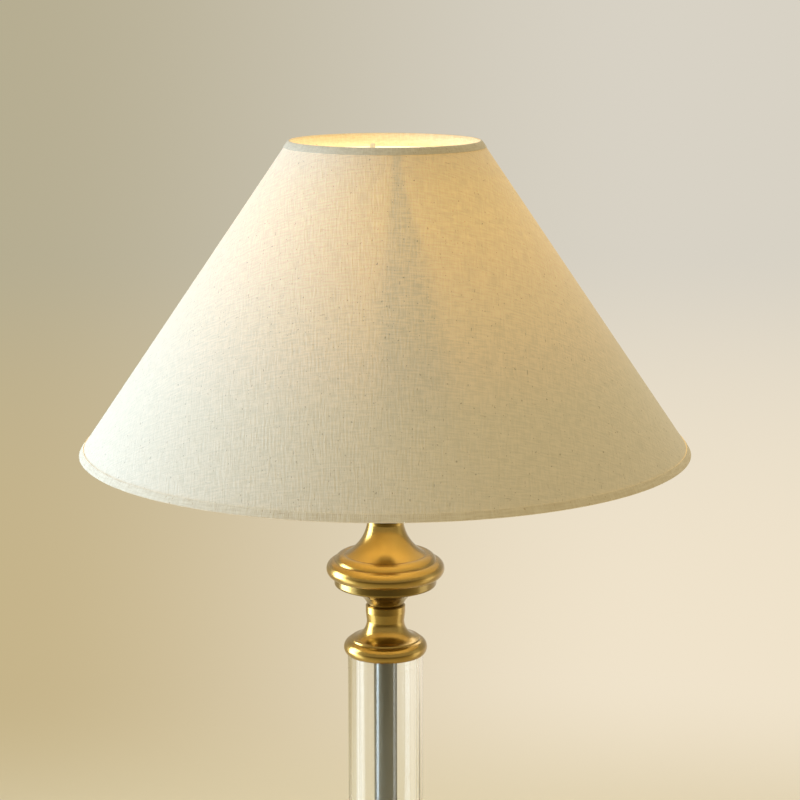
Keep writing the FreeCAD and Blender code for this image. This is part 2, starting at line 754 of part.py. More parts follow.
def make_filaments():
    """Upright filaments spread round the top of the stem."""
    rods = []
    count = int(number("filament_count"))
    for index in range(count):
        angle = f"360 deg * {index} / filament_count"
        rod = DOC.addObject("Part::Cylinder", f"filament_{index + 1}")
        bind(rod, "Radius", "filament_radius")
        bind(rod, "Height", "filament_length")
        place(rod, "bulb_base + bulb_neck_level + stem_height - filament_overlap")
        bind(rod, "Placement.Base.x", f"filament_circle * cos({angle})")
        bind(rod, "Placement.Base.y", f"filament_circle * sin({angle})")
        rods.append(rod)
    group = DOC.addObject("Part::Compound", "bulb_filaments")
    group.Links = rods


# ---------------------------------------------------------------- shade and its carrier
def shade_radius(level):
    """The cover's outer radius at a height above the shade's bottom edge."""
    return f"(shade_bottom_radius - shade_slope * ({level}))"


def cone_skin(label, outset, thickness):
    """One skin of the shade, its outer face a stated distance inside the cover's outer face."""
    bottom, top = shade_radius("0"), shade_radius("shade_height")
    turned(label, "shade_base", [
        (f"{bottom} - {outset}", "0"),
        (f"{top} - {outset}", "shade_height"),
        (f"{top} - {outset} - {thickness}", "shade_height"),
        (f"{bottom} - {outset} - {thickness}", "0"),
    ])


def make_hems():
    """Tapes folded over the two edges: each an outer strip with a lip over the skins."""
    skin = "shade_skin"
    strip = shade_radius("hem_height")
    turned("bottom_hem", "shade_base", [
        (f"{shade_radius('0')} + hem_thickness", "-hem_thickness"),
        (f"{strip} + hem_thickness", "hem_height"),
        (strip, "hem_height"),
        (shade_radius("0"), "0"),
        (f"{shade_radius('0')} - {skin}", "0"),
        (f"{shade_radius('0')} - {skin}", "-hem_thickness"),
    ])
    low = "shade_height - hem_height"
    top = shade_radius("shade_height")
    turned("top_hem", "shade_base", [
        (shade_radius(low), low),
        (f"{shade_radius(low)} + hem_thickness", low),
        (f"{top} + hem_thickness", "shade_height + hem_thickness"),
        (f"{top} - {skin}", "shade_height + hem_thickness"),
        (f"{top} - {skin}", "shade_height"),
        (top, "shade_height"),
    ])


def wire_ring(label, radius, level):
    ring = DOC.addObject("Part::Torus", label)
    bind(ring, "Radius1", radius)
    bind(ring, "Radius2", "ring_wire_radius")
    place(ring, level)
    return ring


def make_arm(label, azimuth):
    """A wire arm from the carrier's rim up to the top ring, drawn in its own upright plane."""
    arm = new_body(label, "shoulder_top + arm_wire_radius", Rotation(Vector(0, 0, 1), azimuth))
    foot = "(carrier_radius + weld_gap)"
    knee = f"({foot} + arm_foot_length)"
    run = f"(top_ring_radius - {knee})"
    rise = "(top_ring_level - ring_wire_radius - weld_gap - shoulder_top - arm_wire_radius)"
    slant = f"hypot({run}; {rise})"
    # the bend is tangent to the level foot and to the slanting run
    cut = f"(arm_bend_radius * ({slant} - {run}) / {rise})"
    swell = f"arm_bend_radius * (1 - cos(acos({run} / {slant}) / 2))"
    path = new_sketch(arm, "path", "XZ_Plane")
    draw_outline(path, [
        (foot, "0"),
        (f"{knee} - {cut}", "0"),
        (f"{knee} + {cut} * {run} / {slant}", f"{cut} * {rise} / {slant}", swell),
        ("top_ring_radius", rise),
    ], closed=False)
    section = new_sketch(arm, "section", "YZ_Plane")
    bind(section, "AttachmentOffset.Base.z", foot)
    circle = section.addGeometry(Part.Circle(Vector(), Vector(0, 0, 1), number("arm_wire_radius")))
    section.addConstraint(Sketcher.Constraint("Coincident", circle, 3, -1, 1))
    index = section.addConstraint(Sketcher.Constraint("Radius", circle, number("arm_wire_radius")))
    section.renameConstraint(index, "radius")
    bind(section, "Constraints.radius", "arm_wire_radius")
    wire = arm.newObject("PartDesign::AdditivePipe", f"{label}_wire")
    wire.Profile = section
    wire.Spine = path


def make_carrier():
    """The washer between the shoulder and the clamp ring, and its two arms to the top ring."""
    tube("carrier_ring", "shoulder_top", "skirt_radius + carrier_play", "carrier_radius",
         "carrier_thickness")
    front = number("arm_azimuth") - 90
    make_arm("front_arm", front)
    make_arm("back_arm", front + 180)
    wire_ring("top_ring", "top_ring_radius", "top_ring_level")
    wire_ring("bottom_ring", "bottom_ring_radius", "bottom_ring_level")


def make_clamp_ring():
    """The threaded ring that holds the shade down, notched round its rim for the fingers."""
    ring = tube("clamp_ring", "clamp_ring_base", "skirt_radius + ring_thread_play",
                "clamp_ring_radius", "clamp_ring_height")
    sketch = new_sketch(ring, "notch", "XY_Plane")
    circle = sketch.addGeometry(Part.Circle(Vector(number("clamp_ring_radius"), 0, 0),
                                            Vector(0, 0, 1), number("clamp_ring_notch")))
    hold_point(sketch, circle, 3, "clamp_ring_radius", "0", "middle")
    index = sketch.addConstraint(Sketcher.Constraint("Radius", circle, number("clamp_ring_notch")))
    sketch.renameConstraint(index, "radius")
    bind(sketch, "Constraints.radius", "clamp_ring_notch")
    notch = ring.newObject("PartDesign::Pocket", "clamp_ring_notch_cut")
    notch.Profile = sketch
    notch.Type = "ThroughAll"
    notch.Midplane = True
    notches = ring.newObject("PartDesign::PolarPattern", "clamp_ring_notches_cut")
    notches.Originals = [notch]
    notches.Axis = (sketch, ["N_Axis"])
    notches.Angle = 360
    bind(notches, "Occurrences", "clamp_ring_notches")
    ring.Tip = notches


def make_shade():
    cone_skin("shade_cover", "0", "cover_thickness")
    cone_skin("shade_liner", "cover_thickness", "liner_thickness")
    make_hems()
    make_carrier()
    make_clamp_ring()


def pieces():
    """Every object that is a piece of the lamp: bodies, and solids that no other solid uses."""
    return [thing for thing in DOC.Objects
            if thing.isDerivedFrom("PartDesign::Body")
            or (thing.isDerivedFrom("Part::Feature") and not thing.isDerivedFrom("PartDesign::Feature")
                and not thing.isDerivedFrom("Part::Part2DObject") and not thing.InList)]


def check_and_write():
    DOC.recompute()
    broken = [thing.Label for thing in DOC.Objects if {"Invalid", "Error"} & set(thing.State)]
    if broken:
        raise RuntimeError("failed to recompute: " + ", ".join(broken))
    os.makedirs("parts", exist_ok=True)
    for piece in pieces():
        shape = piece.Shape
        if shape.isNull() or not shape.isValid() or not shape.Solids:
            raise RuntimeError("no valid solid: " + piece.Label)
    for piece in pieces():
        piece.Shape.exportStep(f"parts/{piece.Label}.step")
        print(f"{piece.Label:18s} {len(piece.Shape.Solids)} solid(s) {piece.Shape.Volume:12.1f} mm3")


make_base()
make_column()
make_knop()
make_neck()
make_holder_shells()
make_skirt()
make_socket()
make_switch_bar()
make_bulb()
make_shade()
check_and_write()
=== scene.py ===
import math

import bpy
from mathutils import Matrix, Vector


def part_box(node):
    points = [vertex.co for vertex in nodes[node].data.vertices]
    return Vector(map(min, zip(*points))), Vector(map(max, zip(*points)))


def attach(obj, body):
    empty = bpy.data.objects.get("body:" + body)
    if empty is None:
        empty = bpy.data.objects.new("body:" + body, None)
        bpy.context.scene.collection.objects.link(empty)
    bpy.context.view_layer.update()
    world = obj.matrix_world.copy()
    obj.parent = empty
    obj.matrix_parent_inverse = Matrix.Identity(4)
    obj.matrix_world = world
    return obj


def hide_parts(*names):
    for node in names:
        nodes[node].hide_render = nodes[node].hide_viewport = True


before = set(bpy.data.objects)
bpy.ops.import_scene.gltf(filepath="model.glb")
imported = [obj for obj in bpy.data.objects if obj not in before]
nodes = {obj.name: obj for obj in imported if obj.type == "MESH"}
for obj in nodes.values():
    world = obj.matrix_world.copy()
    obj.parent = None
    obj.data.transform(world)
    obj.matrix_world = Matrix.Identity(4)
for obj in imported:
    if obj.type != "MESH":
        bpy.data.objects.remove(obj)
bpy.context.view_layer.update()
bpy.ops.object.select_all(action="DESELECT")


# The view. A long lens a little above the shade's bottom edge looks slightly down, so that the
# shade's two rims show as thin ellipses and the picture ends in the middle of the glass column.
shade_low, shade_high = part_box("shade_cover")
camera_height_over_shade = 0.310
camera_distance = 1.396
camera_to_the_right = 0.0097
camera_pitch = 11.29
focal_length = 97.29
lens = bpy.data.cameras.new("camera")
lens.sensor_width = 36
lens.lens = focal_length
camera = bpy.data.objects.new("camera", lens)
camera.location = (camera_to_the_right, -camera_distance, shade_low.z + camera_height_over_shade)
camera.rotation_euler = (math.radians(90 - camera_pitch), 0, 0)
bpy.context.collection.objects.link(camera)
bpy.context.scene.camera = camera
bpy.context.scene.view_settings.view_transform = "Standard"


def srgb(red, green, blue):
    """A colour as it looks on a screen, from 0 to 255, as the shader's own linear colour."""
    def linear(level):
        share = level / 255
        return share / 12.92 if share <= 0.04045 else ((share + 0.055) / 1.055) ** 2.4
    return (linear(red), linear(green), linear(blue), 1)


class Value:
    """What a shader's wire carries. Arithmetic on it adds the Math nodes."""

    def __init__(self, paint, socket):
        self.paint = paint
        self.socket = socket

    def math(self, operation, *others):
        inputs = dict(enumerate((self, *others)))
        return self.paint.node("Math", {"operation": operation}, inputs)

    def after(self, operation, first):
        return self.paint.node("Math", {"operation": operation}, {0: first, 1: self})

    def __add__(self, other):
        return self.math("ADD", other)

    def __radd__(self, other):
        return self.after("ADD", other)

    def __sub__(self, other):
        return self.math("SUBTRACT", other)

    def __rsub__(self, other):
        return self.after("SUBTRACT", other)

    def __mul__(self, other):
        return self.math("MULTIPLY", other)

    def __rmul__(self, other):
        return self.after("MULTIPLY", other)

    def __truediv__(self, other):
        return self.math("DIVIDE", other)

    def between(self, start, end):
        """0 before start, 1 past end, and an even curve between them."""
        settings = {"interpolation_type": "SMOOTHSTEP"}
        return self.paint.node("MapRange", settings, {"Value": self, 1: start, 2: end})


class Paint:
    """A material whose nodes are added one after the other."""

    def __init__(self, name, colour, **constants):
        self.material = bpy.data.materials.new(name)
        self.material.use_nodes = True
        self.tree = self.material.node_tree
        self.shader = self.tree.nodes["Principled BSDF"]
        self.set("Base Color", colour)
        for socket, value in constants.items():
            self.set(socket.replace("_", " ").title().replace("Ior", "IOR"), value)

    def set(self, socket, value):
        """Sets one of the finish's own sockets, to a constant or to what a wire carries."""
        if isinstance(value, Value):
            self.tree.links.new(value.socket, self.shader.inputs[socket])
        else:
            self.shader.inputs[socket].default_value = value

    def node(self, kind, settings=None, inputs=None, output=0):
        made = self.tree.nodes.new("ShaderNode" + kind)
        for name, value in (settings or {}).items():
            if name == "stops":
                self.fill_ramp(made.color_ramp, value)
            else:
                setattr(made, name, value)
        for name, value in (inputs or {}).items():
            if isinstance(value, Value):
                self.tree.links.new(value.socket, made.inputs[name])
            else:
                made.inputs[name].default_value = value
        return Value(self, made.outputs[output])

    def fill_ramp(self, ramp, stops):
        while len(ramp.elements) < len(stops):
            ramp.elements.new(0.5)
        for element, (position, colour) in zip(ramp.elements, stops):
            element.position = position
            element.color = colour

    def mix(self, share, first, second):
        """A blend of two colours."""
        inputs = {0: share, 6: first, 7: second}
        return self.node("Mix", {"data_type": "RGBA"}, inputs, output=2)

    def place(self):
        return self.node("TexCoord", output="Object")

    def split(self, vector):
        return [self.node("SeparateXYZ", None, {0: vector}, output=axis) for axis in range(3)]

    def join(self, x=0.0, y=0.0, z=0.0):
        return self.node("CombineXYZ", None, {0: x, 1: y, 2: z})

    def noise(self, vector, scale, detail=2.0, roughness=0.5):
        inputs = {"Vector": vector, "Scale": scale, "Detail": detail, "Roughness": roughness}
        return self.node("TexNoise", None, inputs)

    def bump(self, height, distance, strength=1.0):
        """Raises the surface by the height, whose 1 is the distance in metres."""
        inputs = {"Height": height, "Distance": distance, "Strength": strength}
        self.set("Normal", self.node("Bump", None, inputs))


def dress(paint, *names):
    """Gives CAD nodes a finish."""
    for name in names:
        for slot in nodes[name].material_slots:
            slot.material = paint.material


# The floor. A wide pale floor: near the lamp it is lit, and farther off it shows the camera, metal
# and glass a colour of its own with painted light in it, lighter to the right and nearer the lamp,
# darker to the left and farther back. Behind the viewer, where only metal and glass mirror it, it
# is painted as dark as an unlit room, a painted dark reflection.
floor_colour = srgb(232, 218, 188)
floor_stain = srgb(214, 198, 166)
painted_dark_reflection = srgb(84, 72, 48)
floor_radius = 60.0
circle_centre_forward = 0.7
bpy.ops.mesh.primitive_circle_add(vertices=96, radius=floor_radius, fill_type="NGON")
floor = bpy.context.object
floor.name = "floor"
floor_paint = Paint("floor_paper", floor_colour, roughness=0.9)
floor_grain = floor_paint.noise(floor_paint.place(), 40.0)
floor_tone = floor_paint.mix(floor_grain * 0.08, floor_colour, floor_stain)
x, y, z = floor_paint.split(floor_paint.place())
mirrored = floor_paint.node("LightPath", output="Is Glossy Ray").math(
    "MAXIMUM", floor_paint.node("LightPath", output="Is Transmission Ray"))
# Metal and glass see the floor behind the viewer painted dark, a painted dark reflection.
dark_reflection_share = (1 - y.between(-1.5, -0.35)) * mirrored * 0.85
floor_paint.set("Base Color", floor_paint.mix(dark_reflection_share, floor_tone, painted_dark_reflection))

forward = y + circle_centre_forward
from_the_front = (x * x + forward * forward).math("SQRT")
to_the_right = (x / (y + 1.4).math("MAXIMUM", 1.9)).between(-0.2, 0.13)
to_the_right = 0.5 + (to_the_right - 0.5) * y.between(-0.6, 0.5)
# The far floor's own colour is painted light: lighter to the right and nearer the lamp, darker to the
# left and farther back.
near_painted_light = floor_paint.mix(to_the_right, srgb(198, 180, 138), srgb(240, 227, 203))
far_painted_light = floor_paint.mix(to_the_right, srgb(182, 173, 145), srgb(216, 210, 197))
painted_floor_light = floor_paint.mix(y.between(0.8, 4.6), near_painted_light, far_painted_light)
painted_floor_light = floor_paint.mix(dark_reflection_share, painted_floor_light, painted_dark_reflection)
painted_light_floor = floor_paint.node("Emission", None, {"Color": painted_floor_light})
lit_floor = Value(floor_paint, floor_paint.shader.outputs[0])
seen = floor_paint.node("LightPath", output="Is Camera Ray").math("MAXIMUM", mirrored)
share = seen * from_the_front.between(0.95, 1.6)
floor_look = floor_paint.node("MixShader", None, {0: share, 1: lit_floor, 2: painted_light_floor})
floor_out = floor_paint.tree.nodes["Material Output"]
floor_paint.tree.links.new(floor_look.socket, floor_out.inputs["Surface"])
floor.data.materials.append(floor_paint.material)


# The room and its light. The room lights the lamp evenly and shows the camera, metal and glass a
# plain wall. A tall soft window stands on the left, a pale wall on the right gives a little light
# back, and a light from above and behind brightens the floor there.
room_light = (0.47, 0.43, 0.29, 1)
room_far = srgb(199, 192, 174)
world = bpy.data.worlds.new("room")
world.use_nodes = True
sky = world.node_tree
lit_room = sky.nodes["Background"]
lit_room.inputs["Color"].default_value = room_light
seen_room = sky.nodes.new("ShaderNodeBackground")
seen_room.inputs["Color"].default_value = room_far
rays = sky.nodes.new("ShaderNodeLightPath")
either = rays.outputs["Is Camera Ray"]
for ray in ("Is Glossy Ray", "Is Transmission Ray"):
    larger = sky.nodes.new("ShaderNodeMath")
    larger.operation = "MAXIMUM"
    sky.links.new(either, larger.inputs[0])
    sky.links.new(rays.outputs[ray], larger.inputs[1])
    either = larger.outputs[0]
room = sky.nodes.new("ShaderNodeMixShader")
sky.links.new(either, room.inputs[0])
sky.links.new(lit_room.outputs[0], room.inputs[1])
sky.links.new(seen_room.outputs[0], room.inputs[2])
sky.links.new(room.outputs[0], sky.nodes["World Output"].inputs["Surface"])
bpy.context.scene.world = world


def soft_light(name, place, aim, size, watts, colour):
    """A rectangle of light, of a width and a height in metres, that the camera doesn't see."""
    lamp = bpy.data.lights.new(name, "AREA")
    lamp.shape = "RECTANGLE"
    lamp.size, lamp.size_y = size
    lamp.energy = watts
    lamp.color = colour
    lit = bpy.data.objects.new(name, lamp)
    lit.location = place
    lit.rotation_euler = (Vector(aim) - Vector(place)).to_track_quat("-Z", "Y").to_euler()
    lit.visible_camera = False
    bpy.context.collection.objects.link(lit)
    return lit


# The window lights the lamp from one place and shows in the metal and the glass from another.
window = soft_light("window", place=(-0.97, -0.22, 0.62), aim=(0, 0, 0.62),
                    size=(0.56, 1.24), watts=12.4, colour=(0.56, 0.76, 1.0))
window.visible_glossy = False
shine = soft_light("window_shine", place=(-0.95, 0.18, 0.62), aim=(0, 0, 0.62),
                   size=(0.5, 1.24), watts=23, colour=(0.80, 0.90, 1.0))
shine.visible_diffuse = False
soft_light("window_foot", place=(-0.44, -0.05, 0.15), aim=(0, 0, 0.2),
           size=(0.24, 0.3), watts=0.55, colour=(0.72, 0.84, 1.0))
soft_light("pale_wall", place=(1.1, 0.05, 0.45), aim=(0, 0, 0.45),
           size=(0.5, 0.9), watts=0.4, colour=(0.92, 0.96, 1.0))
soft_light("wall_foot", place=(0.44, 0.02, 0.15), aim=(0, 0, 0.2),
           size=(0.2, 0.3), watts=0.16, colour=(0.95, 0.97, 1.0))
soft_light("above", place=(0.4, 1.9, 1.8), aim=(0.2, 1.3, 0),
           size=(1.2, 1.2), watts=18, colour=(1.0, 0.93, 0.80))


# The felt disc under the foot. Pressed wool felt, cut round and glued to the base plate, so that
# the lamp doesn't scratch the table.
felt_green = (0.028, 0.052, 0.034, 1)
felt_pale_green = (0.07, 0.11, 0.075, 1)
felt = Paint("felt", felt_green, roughness=0.95, sheen_weight=0.4, sheen_roughness=0.6)
felt_fibres = felt.noise(felt.place(), 900.0, 4.0, 0.7)
felt_clouds = felt.noise(felt.place(), 60.0)
felt_tone = felt_fibres * 0.6 + felt_clouds * 0.3
felt.set("Base Color", felt.mix(felt_tone, felt_green, felt_pale_green))
felt.bump(felt_fibres, 0.0004)
dress(felt, "base_felt")


# The base plate, the washer and the nuts. Zinc-plated steel: the plate closes the foot from
# below, and the nuts draw the whole column tight on the threaded tube.
zinc_grey = (0.58, 0.59, 0.58, 1)
zinc_blue_grey = (0.44, 0.46, 0.48, 1)


def zinc_plate(name):
    """Zinc plating, with the small patches of its crystals."""
    zinc = Paint(name, zinc_grey, metallic=1.0, roughness=0.34)
    spangle = zinc.node("TexVoronoi", None, {"Vector": zinc.place(), "Scale": 220.0}, output="Color")
    tone = zinc.split(spangle)[0]
    zinc.set("Base Color", zinc.mix(tone * 0.5, zinc_grey, zinc_blue_grey))
    zinc.set("Roughness", 0.26 + tone * 0.16)
    return zinc


zinc = zinc_plate("zinc_steel")
zinc.bump(zinc.noise(zinc.place(), 500.0), 0.00004)
dress(zinc, "base_plate", "bottom_washer", "bottom_nut", "column_nut", "bulb_contact")


# The weight. A grey iron casting inside the foot, as cast, with a channel that the cord would
# take to the tube.
iron_grey = (0.075, 0.076, 0.08, 1)
iron_rust = (0.13, 0.115, 0.105, 1)
iron = Paint("cast_iron", iron_grey, metallic=0.75, roughness=0.72)
iron_skin = iron.noise(iron.place(), 420.0, 5.0, 0.65)
iron.set("Base Color", iron.mix(iron_skin * 0.7, iron_grey, iron_rust))
iron.set("Roughness", 0.6 + iron_skin * 0.3)
iron.bump(iron_skin, 0.0005)
dress(iron, "base_weight")


# The brass turnings: foot, collars, knop and neck. Spun and turned brass, aged, polished back on
# the crests and lacquered; it is darker and olive in its hollows and under its overhangs, partly
# the patina of its ageing and partly painted shade. The knop's flange has a darker copy of the
# brass, a painted dark reflection.
brass_gold = (0.43, 0.275, 0.060, 1)
brass_aged = (0.30, 0.20, 0.045, 1)
brass_dark = (0.055, 0.036, 0.010, 1)
painted_dark_flange_gold = (0.29, 0.195, 0.045, 1)
painted_dark_flange_aged = (0.17, 0.112, 0.028, 1)


def turned_brass(name, bright, aged, hollow):
    """Brass with the lathe's fine rings, cloudy age, and hollows darkened partly as patina, partly as
    painted shade.
    """
    brass = Paint(name, bright, metallic=1.0, roughness=0.2, coat_weight=0.35, coat_roughness=0.18)
    x, y, z = brass.split(brass.place())
    radius = (x * x + y * y).math("SQRT")
    rings = brass.noise(brass.join(radius * 0.3, 0.0, z + radius * 0.5), 2600.0, 2.0)
    wide_rings = brass.noise(brass.join(0.0, 0.0, z + radius * 0.5), 420.0, 2.0)
    clouds = brass.noise(brass.place(), 55.0, 3.0, 0.6)
    # Ambient occlusion darkens the hollows and under overhangs: partly patina, partly painted shade.
    hollows = brass.node("AmbientOcclusion", {"samples": 8, "only_local": True},
                         {"Distance": 0.009}, output="AO")
    age = (clouds - 0.42).between(0.0, 0.3) * 0.25 + wide_rings * 0.4
    worn = brass.mix(age, bright, aged)
    brass.set("Base Color", brass.mix((1 - hollows).between(0.15, 0.62), worn, hollow))
    brass.set("Roughness", 0.21 + clouds * 0.06)
    brass.bump(rings * 0.4 + wide_rings, 0.00003)
    return brass


antique_brass = turned_brass("antique_brass", brass_gold, brass_aged, brass_dark)
dress(antique_brass, "base_foot", "lower_collar", "upper_collar", "knop_upper", "neck")
# A darker copy of the brass for the knop's flange: a painted dark reflection.
painted_dark_flange_brass = turned_brass("painted_dark_flange_brass", painted_dark_flange_gold, painted_dark_flange_aged, brass_dark)
dress(painted_dark_flange_brass, "knop_lower")


# The cord's bush. A moulded black rubber grommet in the hole at the back of the foot, which would
# keep the cord off the brass edge.
rubber_black = (0.018, 0.018, 0.018, 1)
rubber_grey = (0.04, 0.04, 0.038, 1)
rubber = Paint("black_rubber", rubber_black, roughness=0.6)
rubber_grain = rubber.noise(rubber.place(), 1200.0, 3.0)
rubber.set("Base Color", rubber.mix(rubber_grain * 0.5, rubber_black, rubber_grey))
rubber.bump(rubber_grain, 0.00008)
dress(rubber, "cord_grommet")


# The threaded tube. M10 steel with a 1 mm thread along its whole length, which carries the
# column from the foot's nut to the lampholder.
thread_pitch = 0.001
thread = zinc_plate("zinc_thread")
x, y, z = thread.split(thread.place())
turn = y.math("ARCTAN2", x) / math.tau
helix = (z / thread_pitch - turn).math("FRACT")
thread.bump((helix * 2 - 1).math("ABSOLUTE"), 0.0006)
dress(thread, "threaded_tube")


# The gaskets. Thin clear rings between the collars and the ends of the glass, which take up the
# pull of the nuts.
gasket_clear = (0.80, 0.80, 0.76, 1)
gasket = Paint("clear_rubber", gasket_clear, roughness=0.35, transmission_weight=0.6, ior=1.41)
gasket_clouds = gasket.noise(gasket.place(), 300.0)
gasket.set("Roughness", 0.3 + gasket_clouds * 0.2)
dress(gasket, "lower_gasket", "upper_gasket")


# The glass column. A drawn tube of clear glass with ground ends; drawing leaves faint long waves
# in its wall, which show as pale upright bands.
glass_clear = (0.985, 0.99, 0.98, 1)
glass = Paint("clear_glass", glass_clear, roughness=0.0, transmission_weight=1.0, ior=1.5)
x, y, z = glass.split(glass.place())
round_it = y.math("ARCTAN2", x)
draw_waves = glass.noise(glass.join(round_it, 0.0, z * 0.4), 3.2, 2.0)
glass.bump(draw_waves, 0.0004)
dress(glass, "glass_tube")


# The rod. A chromed steel sleeve round the threaded tube, polished lengthwise, which stands
# between the two collars inside the glass.
chrome_grey = (0.24, 0.248, 0.248, 1)
chrome_dark = (0.15, 0.157, 0.157, 1)
chrome = Paint("chrome", chrome_grey, metallic=1.0, roughness=0.07)
x, y, z = chrome.split(chrome.place())
polish = chrome.noise(chrome.join(x * 1500.0, y * 1500.0, z * 12.0), 1.0, 2.0)
chrome.set("Base Color", chrome.mix(polish * 0.25, chrome_grey, chrome_dark))
chrome.set("Roughness", 0.05 + polish * 0.06)
dress(chrome, "rod_sleeve")


# The lampholder's metal cup. Thin spun brass in two parts, cap and body, lacquered and brighter
# than the column's brass.
holder_gold = (0.76, 0.60, 0.30, 1)
holder_aged = (0.60, 0.46, 0.22, 1)
holder_brass = turned_brass("holder_brass", holder_gold, holder_aged, brass_dark)
dress(holder_brass, "holder_cap", "holder_body")


# The lampholder's plastic: the switch block, the push bar through it, the threaded skirt and the
# ring that clamps the shade, all moulded in black phenolic plastic.
plastic_black = (0.022, 0.022, 0.023, 1)
plastic_brown = (0.035, 0.033, 0.032, 1)
plastic = Paint("black_plastic", plastic_black, roughness=0.42, specular_ior_level=0.5)
plastic_texture = plastic.noise(plastic.place(), 1500.0, 2.0)
plastic_flow = plastic.noise(plastic.place(), 90.0)
plastic.set("Base Color", plastic.mix(plastic_flow * 0.5, plastic_black, plastic_brown))
plastic.set("Roughness", 0.36 + plastic_flow * 0.12)
plastic.bump(plastic_texture, 0.00003)
dress(plastic, "switch_block", "switch_bar", "holder_skirt", "clamp_ring", "bulb_insulator")


# The socket: a glazed ceramic disc that carries the centre contact and the threaded shell, both
# of bare brass.
ceramic_white = srgb(236, 234, 228)
ceramic_speckle = srgb(196, 188, 172)
ceramic = Paint("white_ceramic", ceramic_white, roughness=0.18, coat_weight=0.5)
speckle = ceramic.noise(ceramic.place(), 800.0, 3.0).between(0.6, 0.75)
ceramic.set("Base Color", ceramic.mix(speckle * 0.3, ceramic_white, ceramic_speckle))
ceramic.bump(ceramic.noise(ceramic.place(), 120.0), 0.0001)
dress(ceramic, "socket_insulator")

socket_pitch = 0.0036
socket_thread_depth = 0.0006
contact_bright = (0.74, 0.57, 0.28, 1)
contact_tarnished = (0.42, 0.30, 0.14, 1)


def rolled_thread(paint):
    """The height of a round thread rolled round the upright axis."""
    x, y, z = paint.split(paint.place())
    turn = y.math("ARCTAN2", x) / math.tau
    return ((z / socket_pitch - turn) * math.tau).math("SINE")


contact_brass = Paint("contact_brass", contact_bright, metallic=1.0, roughness=0.3)
tarnish = contact_brass.noise(contact_brass.place(), 260.0, 3.0)
contact_brass.set("Base Color", contact_brass.mix(tarnish * 0.6, contact_bright, contact_tarnished))
contact_brass.bump(rolled_thread(contact_brass), socket_thread_depth)
dress(contact_brass, "socket_shell", "centre_contact")


# The bulb. An aluminium E27 cap rolled to a thread, and an A60 glass, white inside, which glows
# all over; the stem and the filaments are inside it.
cap = Paint("cap_aluminium", (0.78, 0.78, 0.78, 1), metallic=1.0, roughness=0.28)
cap.set("Roughness", 0.22 + cap.noise(cap.place(), 400.0) * 0.16)
cap.bump(rolled_thread(cap), socket_thread_depth)
dress(cap, "bulb_cap")

bulb_white = (0.92, 0.90, 0.85, 1)
lamplight = (1.0, 0.80, 0.50, 1)
dim_lamplight = (0.55, 0.36, 0.16, 1)
opal = Paint("opal_glass", bulb_white, roughness=0.25, emission_strength=6.0)
bulb_low, bulb_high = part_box("bulb_glass")
x, y, z = opal.split(opal.place())
up_the_bulb = (z - bulb_low.z) / (bulb_high.z - bulb_low.z)
opal.set("Emission Color", opal.mix(up_the_bulb.between(0.0, 0.35), dim_lamplight, lamplight))
dress(opal, "bulb_glass")

stem_clear = (0.97, 0.98, 0.97, 1)
stem = Paint("stem_glass", stem_clear, roughness=0.02, transmission_weight=1.0, ior=1.5)
stem.bump(stem.noise(stem.place(), 200.0), 0.0004)
dress(stem, "bulb_stem")

phosphor_yellow = (0.95, 0.72, 0.28, 1)
phosphor_orange = (0.90, 0.56, 0.16, 1)
phosphor = Paint("filament", phosphor_yellow, roughness=0.5, emission_strength=3.0)
grains = phosphor.noise(phosphor.place(), 1800.0, 2.0)
phosphor.set("Base Color", phosphor.mix(grains, phosphor_yellow, phosphor_orange))
phosphor.set("Emission Color", phosphor.mix(grains, (1.0, 0.78, 0.42, 1), (1.0, 0.66, 0.28, 1)))
dress(phosphor, "bulb_filaments")


# The shade's frame: the carrier ring, two wire arms and the two rings, welded steel wire under
# a white powder coat.
wire_white = srgb(232, 228, 218)
wire_cream = srgb(206, 198, 182)
wire = Paint("white_wire", wire_white, roughness=0.42)
coat = wire.noise(wire.place(), 700.0, 2.0)
wire.set("Base Color", wire.mix(coat * 0.35, wire_white, wire_cream))
wire.bump(coat, 0.00012)
dress(wire, "carrier_ring", "front_arm", "back_arm", "top_ring", "bottom_ring")


# The shade's lining. A white laminate that the linen is glued to; it keeps the cone stiff and is
# lit from inside, by the bulb and by a painted glow, an emission brighter towards the top.
liner_white = srgb(246, 241, 228)
liner_cream = srgb(226, 216, 194)
liner = Paint("shade_liner", liner_white, roughness=0.4, emission_strength=0.5)
liner_place = liner.place()
x, y, z = liner.split(liner_place)
up_the_shade = (z - shade_low.z) / (shade_high.z - shade_low.z)
# The painted glow by height: an emission for the bulb's light on the lining.
liner_painted_glow_stops = [(0.0, (0.30, 0.20, 0.08, 1)), (0.5, (0.55, 0.38, 0.17, 1)),
              (0.85, (0.75, 0.56, 0.26, 1)), (1.0, (1.0, 0.96, 0.95, 1))]
liner.set("Emission Color", liner.node("ValToRGB", {"stops": liner_painted_glow_stops}, {0: up_the_shade}))
liner_fibres = liner.noise(liner_place, 350.0, 4.0, 0.6)
liner.set("Base Color", liner.mix(liner_fibres * 0.3, liner_white, liner_cream))
liner.bump(liner_fibres, 0.00006)
dress(liner, "shade_liner")


